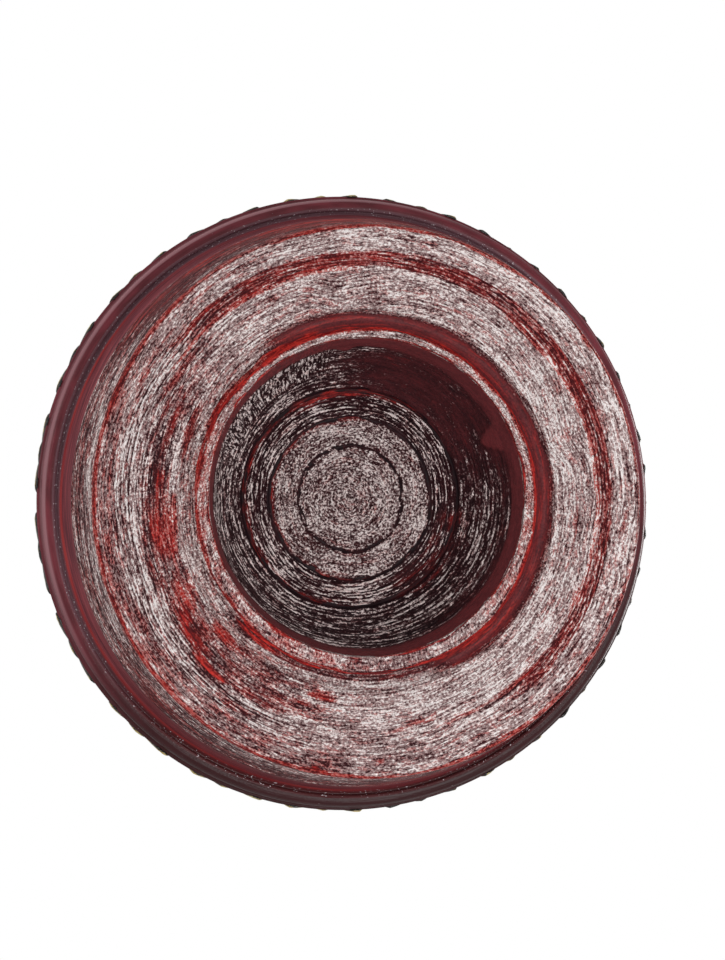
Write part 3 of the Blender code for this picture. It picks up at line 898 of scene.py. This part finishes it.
def painted_lacquer():
    """The body's lacquer: red fillet, dark groove, maroon bead, painted wall and red inside."""
    n = Nodes("painted_lacquer")
    place = n.tree.nodes.new("ShaderNodeTexCoord").outputs["Object"]
    split = n.tree.nodes.new("ShaderNodeSeparateXYZ")
    n.put(split.inputs[0], place)
    x, y, z = split.outputs
    z = n.times(z, 1.0 / MM)
    run = n.layer("run", vector=True)
    rings = n.grain(run, 0.05, 1.6, 3.0, 0.6)
    cloud = n.grain(run, 0.10, 0.3, 2.0, 0.5)
    dust_and_glint_specks = n.grain(run, 1.6, 2.4, 1.0, 0.5)

    # mouldings under the wall, with painted light and shade: the lit band on the fillet, darker towards +Y,
    # glints in the groove and a highlight along the bead
    fillet = n.mix(n.ease(rings, -1.2, 1.4), srgb(88, 42, 50), srgb(146, 68, 74))
    lit = n.mix(n.ease(rings, -1.5, 1.5), srgb(146, 46, 50), srgb(176, 62, 58))
    fillet = n.mix(n.layer("lit"), fillet, lit)
    maroon = n.mix(n.ease(n.add(cloud, n.times(rings, 0.6)), -1.6, 1.8), srgb(88, 30, 38), srgb(116, 44, 54))
    # painted shade: the bead and fillet darken on the side towards +Y
    low_side_shade = n.ease(n.add(n.times(y, 9.0), n.times(x, 2.0)), 0.0, 0.5)
    maroon = n.mix(n.times(low_side_shade, 0.9), maroon, srgb(40, 8, 10))
    fillet = n.mix(n.times(low_side_shade, 0.5), fillet, srgb(84, 18, 20))
    colour = n.mix(n.layer("bead"), fillet, maroon)
    # the groove: painted shade towards +Y, and painted glints where the noise peaks
    shade = n.mix(low_side_shade, srgb(114, 80, 88), srgb(72, 30, 32))
    colour = n.mix(n.layer("groove"), colour, n.mix(n.ease(dust_and_glint_specks, 1.5, 2.1), shade, srgb(226, 216, 222)))
    # a painted highlight along the bead's crest
    colour = n.mix(n.times(n.layer("shine"), 0.8), colour, srgb(150, 104, 110))

    # the wall: black ground, a garland that repeats round it, and gold lines by the rim
    wall = n.layer("wall")
    turn = n.math("ARCTAN2", y, x)
    paint = garland(n, turn, z, cloud, dust_and_glint_specks)
    colour = n.mix(wall, colour, paint)

    # inside: red with a fine gold line under the rim
    inner = n.mix(n.ease(n.add(cloud, n.times(rings, 0.5)), -1.8, 1.8), srgb(140, 21, 19), srgb(156, 27, 22))
    line = n.times(n.ease(z, HEIGHT - 6.4, HEIGHT - 6.1), n.ease(z, HEIGHT - 5.1, HEIGHT - 5.4))
    inner = n.mix(line, inner, GOLD)
    colour = n.mix(n.layer("inside"), colour, inner)
    lip = n.ease(n.add(z, n.times(rings, 0.06)), HEIGHT - 1.7, HEIGHT - 1.3)
    worn_lip = n.times(lip, n.ease(n.add(cloud, n.times(dust_and_glint_specks, 0.7)), 2.3, 1.6))
    colour = n.mix(worn_lip, colour, GOLD)
    speck = n.ease(dust_and_glint_specks, 2.5, 3.0)
    colour = n.mix(n.times(speck, 0.6), colour, srgb(180, 168, 170))
    relief = n.bump(n.add(n.times(rings, 0.5), n.times(dust_and_glint_specks, 0.2)), 0.00008, 0.5)
    metal = n.times(worn_lip, 0.5)
    return n.finish(Base_Color=colour, Metallic=metal, Roughness=0.40, Normal=relief, Specular_IOR_Level=0.25)


GARLAND_REPEATS = 14
GARLAND_Z = 62.0
# strokes of one repeat: kind, place along it, height, half length, half width, lean in degrees
STROKES = (
    ("leaf", 7.5, 6.6, 4.6, 1.5, 38.0),
    ("leaf", 13.0, 7.4, 4.4, 1.4, 128.0),
    ("leaf", 1.0, -5.4, 4.2, 1.4, -40.0),
    ("leaf", 20.5, -6.2, 4.4, 1.5, 35.0),
    ("leaf", 26.5, -7.2, 4.2, 1.4, -58.0),
    ("leaf", 31.5, 5.0, 4.0, 1.3, 150.0),
    ("berry", 10.2, -3.6, 3.0, 3.0, 0.0),
    ("berry", 15.6, -5.4, 2.4, 2.4, 0.0),
    ("berry", 27.4, 2.6, 3.0, 3.0, 0.0),
    ("berry", 22.6, 5.4, 2.4, 2.4, 0.0),
    ("blade", 18.2, 8.0, 3.0, 0.6, 20.0),
    ("blade", 34.0, -7.0, 3.2, 0.6, -25.0),
    ("blade", 4.6, 9.0, 2.6, 0.5, 75.0),
)
GOLD = srgb(196, 150, 62)


def garland(n, turn, z, cloud, dust_and_glint_specks):
    """Colour of the painted wall: a gold stem with leaves, red berries and grass blades on black."""
    width = 2.0 * math.pi * 80.0 / GARLAND_REPEATS
    u = n.times(n.math("FRACT", n.add(n.times(turn, GARLAND_REPEATS / (2.0 * math.pi)), 0.5)), width)
    v = n.add(z, -GARLAND_Z, n.times(cloud, 0.12))

    def inside(across, height, long, wide, lean):
        """Nearness to the middle of an oval: 1 there and 0 at its edge."""
        du = n.add(u, -across)
        dv = n.add(v, -height)
        c, sine = math.cos(math.radians(lean)), math.sin(math.radians(lean))
        a = n.times(n.add(n.times(du, c), n.times(dv, sine)), 1.0 / long)
        b = n.times(n.add(n.times(dv, c), n.times(du, -sine)), 1.0 / wide)
        return n.math("SUBTRACT", 1.0, n.add(n.times(a, a), n.times(b, b))), b

    wave = n.math("SINE", n.times(u, 2.0 * math.pi / width))
    stem = n.math("ABSOLUTE", n.math("SUBTRACT", v, n.times(wave, 4.2)))
    black = n.mix(n.ease(cloud, -2.0, 2.0), srgb(16, 11, 11), srgb(26, 17, 16))
    gold = n.mix(n.ease(n.add(cloud, dust_and_glint_specks), -2.2, 2.2), srgb(168, 120, 44), srgb(208, 164, 76))
    colour = n.mix(n.ease(n.add(stem, n.times(dust_and_glint_specks, 0.05)), 0.62, 0.42), black, gold)
    for kind, across, height, long, wide, lean in STROKES:
        near, side = inside(across, height, long, wide, lean)
        edge = n.ease(n.add(near, n.times(dust_and_glint_specks, 0.02)), 0.0, 0.12)
        if kind == "leaf":
            colour = n.mix(edge, colour, gold)
            vein = n.times(n.ease(n.math("ABSOLUTE", side), 0.16, 0.08), n.ease(near, 0.15, 0.3))
            colour = n.mix(vein, colour, srgb(120, 20, 16))
        elif kind == "berry":
            colour = n.mix(edge, colour, gold)
            red = n.mix(n.ease(near, 0.2, 1.0), srgb(150, 20, 16), srgb(204, 44, 28))
            colour = n.mix(n.ease(near, 0.16, 0.26), colour, red)
            for shift in (-0.32, 0.32):
                dot, _ = inside(across + shift * long, height + 0.3 * long, 0.32, 0.32, 0.0)
                colour = n.mix(n.ease(dot, 0.0, 0.3), colour, srgb(232, 196, 96))
        else:
            colour = n.mix(edge, colour, srgb(186, 38, 26))
    for low, high in ((13.0, 13.7), (-13.2, -12.6)):
        band = n.times(n.ease(v, low - 0.12, low + 0.12), n.ease(v, high + 0.12, high - 0.12))
        colour = n.mix(band, colour, gold)
    return colour


def gilded_relief():
    """Black lacquer petals with worn gold on their heights."""
    n = Nodes("gilded_relief")
    place = n.tree.nodes.new("ShaderNodeTexCoord").outputs["Object"]
    fine = n.grain(place, 900.0, 900.0, 3.0, 0.6)
    broad = n.grain(place, 240.0, 240.0, 2.0, 0.5)
    lift, gilt = n.layer("lift"), n.layer("gilt")
    left = n.add(n.times(gilt, 1.9), n.times(lift, 3.0), n.times(fine, 0.30), n.times(broad, 0.30))
    gold = n.ease(left, 2.35, 3.2)
    leaf = n.mix(n.ease(broad, -1.5, 1.5), srgb(196, 168, 96), srgb(206, 192, 138))
    colour = n.mix(gold, srgb(30, 24, 20), leaf)
    relief = n.bump(n.add(fine, broad), 0.00012, 0.5)
    metal, gloss = n.times(gold, 0.55), n.add(0.28, n.times(gold, 0.14))
    return n.finish(Base_Color=colour, Metallic=metal, Roughness=gloss, Normal=relief)


# ================================================================ camera, lights, floor
CAMERA_TILT = math.radians(12.0)
CAMERA_LEAN = math.radians(6.5)   # which way it is tipped: the height leans this far below level
CAMERA_DISTANCE = 0.9
LENS = 126.1
AIM_LEFT, AIM_UP = 1.62, 5.6   # how far the view's middle lies from the foot ring's, in millimetres


def make_camera():
    """Looks up at the underside, tipped so that the bowl's height leans to the picture's left."""
    data = bpy.data.cameras.new("camera")
    data.lens = LENS
    data.sensor_width = 36.0
    data.clip_end = 20.0
    camera = bpy.data.objects.new("camera", data)
    bpy.context.scene.collection.objects.link(camera)
    hinge = Vector((math.sin(CAMERA_LEAN), math.cos(CAMERA_LEAN), 0.0))
    turn = Matrix.Rotation(CAMERA_TILT, 3, hinge)
    right = np.array(turn @ Vector((1.0, 0.0, 0.0)))
    up = np.array(turn @ Vector((0.0, -1.0, 0.0)))
    back = np.cross(right, up)
    place = back * CAMERA_DISTANCE - right * AIM_LEFT * MM + up * AIM_UP * MM
    matrix = np.eye(4)
    matrix[:3, 0], matrix[:3, 1], matrix[:3, 2], matrix[:3, 3] = right, up, back, place
    camera.matrix_world = Matrix(matrix.tolist())
    bpy.context.scene.camera = camera


def area_light(name, place, size, power, shine=True):
    """A soft square light aimed at the bowl; without shine it makes no highlights."""
    data = bpy.data.lights.new(name, "AREA")
    data.size = size
    data.energy = power
    light = bpy.data.objects.new(name, data)
    light.location = place
    light.rotation_euler = (Vector(place) - Vector((0.0, 0.0, 0.03))).to_track_quat("Z", "Y").to_euler()
    light.visible_glossy = shine
    bpy.context.scene.collection.objects.link(light)


def make_lights():
    """Soft light from below for the underside, from above for the other sides, and a pale sky."""
    area_light("under_key", (0.25, 0.30, -0.85), 0.5, 5.0)
    area_light("under_left", (-0.75, -0.15, -0.15), 0.35, 1.3)
    area_light("over_key", (-0.5, -0.8, 0.9), 0.6, 9.0, shine=False)
    area_light("over_right", (0.95, 0.05, 0.75), 0.6, 6.0)
    world = bpy.data.worlds.new("sky")
    world.use_nodes = True
    bpy.context.scene.world = world
    tree = world.node_tree
    sky = tree.nodes["Background"]
    sky.inputs[0].default_value = (1.0, 1.0, 1.0, 1.0)
    ray = tree.nodes.new("ShaderNodeLightPath")
    level = tree.nodes.new("ShaderNodeMapRange")
    level.inputs["To Min"].default_value = 0.55
    level.inputs["To Max"].default_value = 1.0
    tree.links.new(ray.outputs["Is Camera Ray"], level.inputs["Value"])
    tree.links.new(level.outputs[0], sky.inputs[1])
    bpy.context.scene.view_settings.view_transform = "Standard"


def make_floor():
    """A pale floor that is seen from above only, so that the underside can be seen through it."""
    mesh = bpy.data.meshes.new("floor")
    half = 4.0
    corners = [(-half, -half, 0), (half, -half, 0), (half, half, 0), (-half, half, 0)]
    mesh.from_pydata(corners, [], [(0, 1, 2, 3)])
    floor = bpy.data.objects.new("floor", mesh)
    floor.location.z = -0.0002
    bpy.context.scene.collection.objects.link(floor)
    n = Nodes("pale_floor")
    n.finish(Base_Color=(0.82, 0.81, 0.80, 1.0), Roughness=0.9)
    clear = n.tree.nodes.new("ShaderNodeBsdfTransparent")
    side = n.tree.nodes.new("ShaderNodeNewGeometry")
    choose = n.tree.nodes.new("ShaderNodeMixShader")
    output = next(node for node in n.tree.nodes if node.type == "OUTPUT_MATERIAL")
    n.put(choose.inputs[0], side.outputs["Backfacing"])
    n.put(choose.inputs[1], n.shader.outputs[0])
    n.put(choose.inputs[2], clear.outputs[0])
    n.put(output.inputs[0], choose.outputs[0])
    mesh.materials.append(n.material)
    floor.visible_shadow = False
    floor.visible_diffuse = False
    floor.visible_glossy = False


make_base()
make_body()
make_border()
make_floor()
make_lights()
make_camera()
